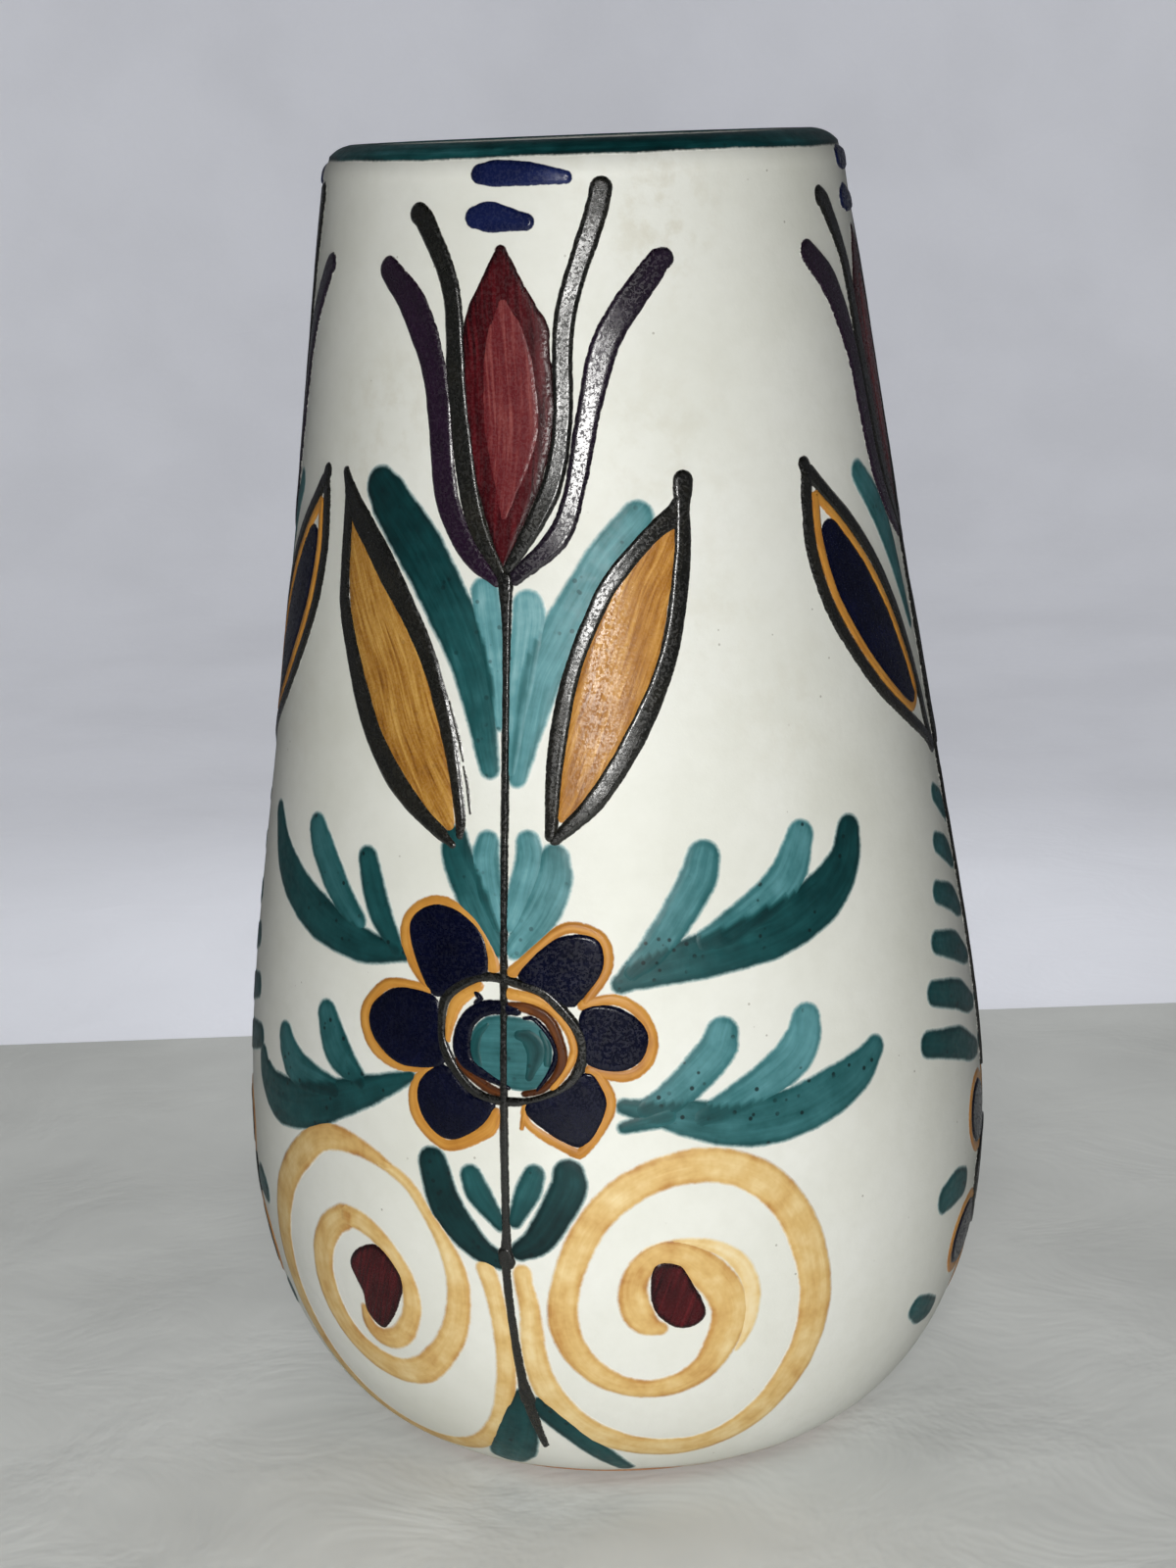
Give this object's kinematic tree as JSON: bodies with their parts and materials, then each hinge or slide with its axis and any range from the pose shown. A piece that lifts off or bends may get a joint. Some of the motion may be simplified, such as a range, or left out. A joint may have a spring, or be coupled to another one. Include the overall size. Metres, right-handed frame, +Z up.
{
  "type": "flower vase",
  "caption": "Round-bellied glazed earthenware vase with an open neck, painted in raised enamel with tulips, ferns, round flowers and scrolls.",
  "frame": {"origin": "centre of the foot, on the table", "axes": "+Z up through the mouth; -Y is the front, through the first tulip panel; +X is to the right of it"},
  "size_m": [0.1244, 0.1244, 0.2105],
  "materials": {
    "fired_clay": "matte",
    "white_glaze": "satin",
    "lip_green": "gloss",
    "navy_enamel": "gloss",
    "crimson_enamel": "gloss",
    "olive_enamel": "gloss",
    "plum_black_enamel": "gloss",
    "black_enamel": "gloss",
    "teal_enamel": "gloss",
    "dark_teal_enamel": "gloss",
    "ochre_enamel": "gloss",
    "honey_enamel": "satin",
    "brown_enamel": "gloss",
    "maroon_enamel": "gloss"
  },
  "bodies": {
    "root": {"clay_body": "fired_clay", "outer_glaze": "white_glaze", "inner_glaze": "white_glaze", "rim_band": "lip_green", "navy_dashes": "navy_enamel", "tulip_petals": "crimson_enamel", "inner_sepals": "olive_enamel", "outer_sepals": "plum_black_enamel", "stems": "black_enamel", "tulip_leaves": "teal_enamel", "side_sprigs": "teal_enamel", "fern_strokes": "dark_teal_enamel", "small_leaves": "dark_teal_enamel", "leaf_outlines": "olive_enamel", "ochre_leaves": "ochre_enamel", "blue_leaf_borders": "ochre_enamel", "blue_leaves": "navy_enamel", "flower_petals": "navy_enamel", "petal_borders": "ochre_enamel", "flower_rings": "olive_enamel", "flower_bands": "brown_enamel", "flower_eye_rings": "navy_enamel", "flower_eyes": "teal_enamel", "scrolls": "honey_enamel", "scroll_hearts": "maroon_enamel"}
  },
  "joints": []
}
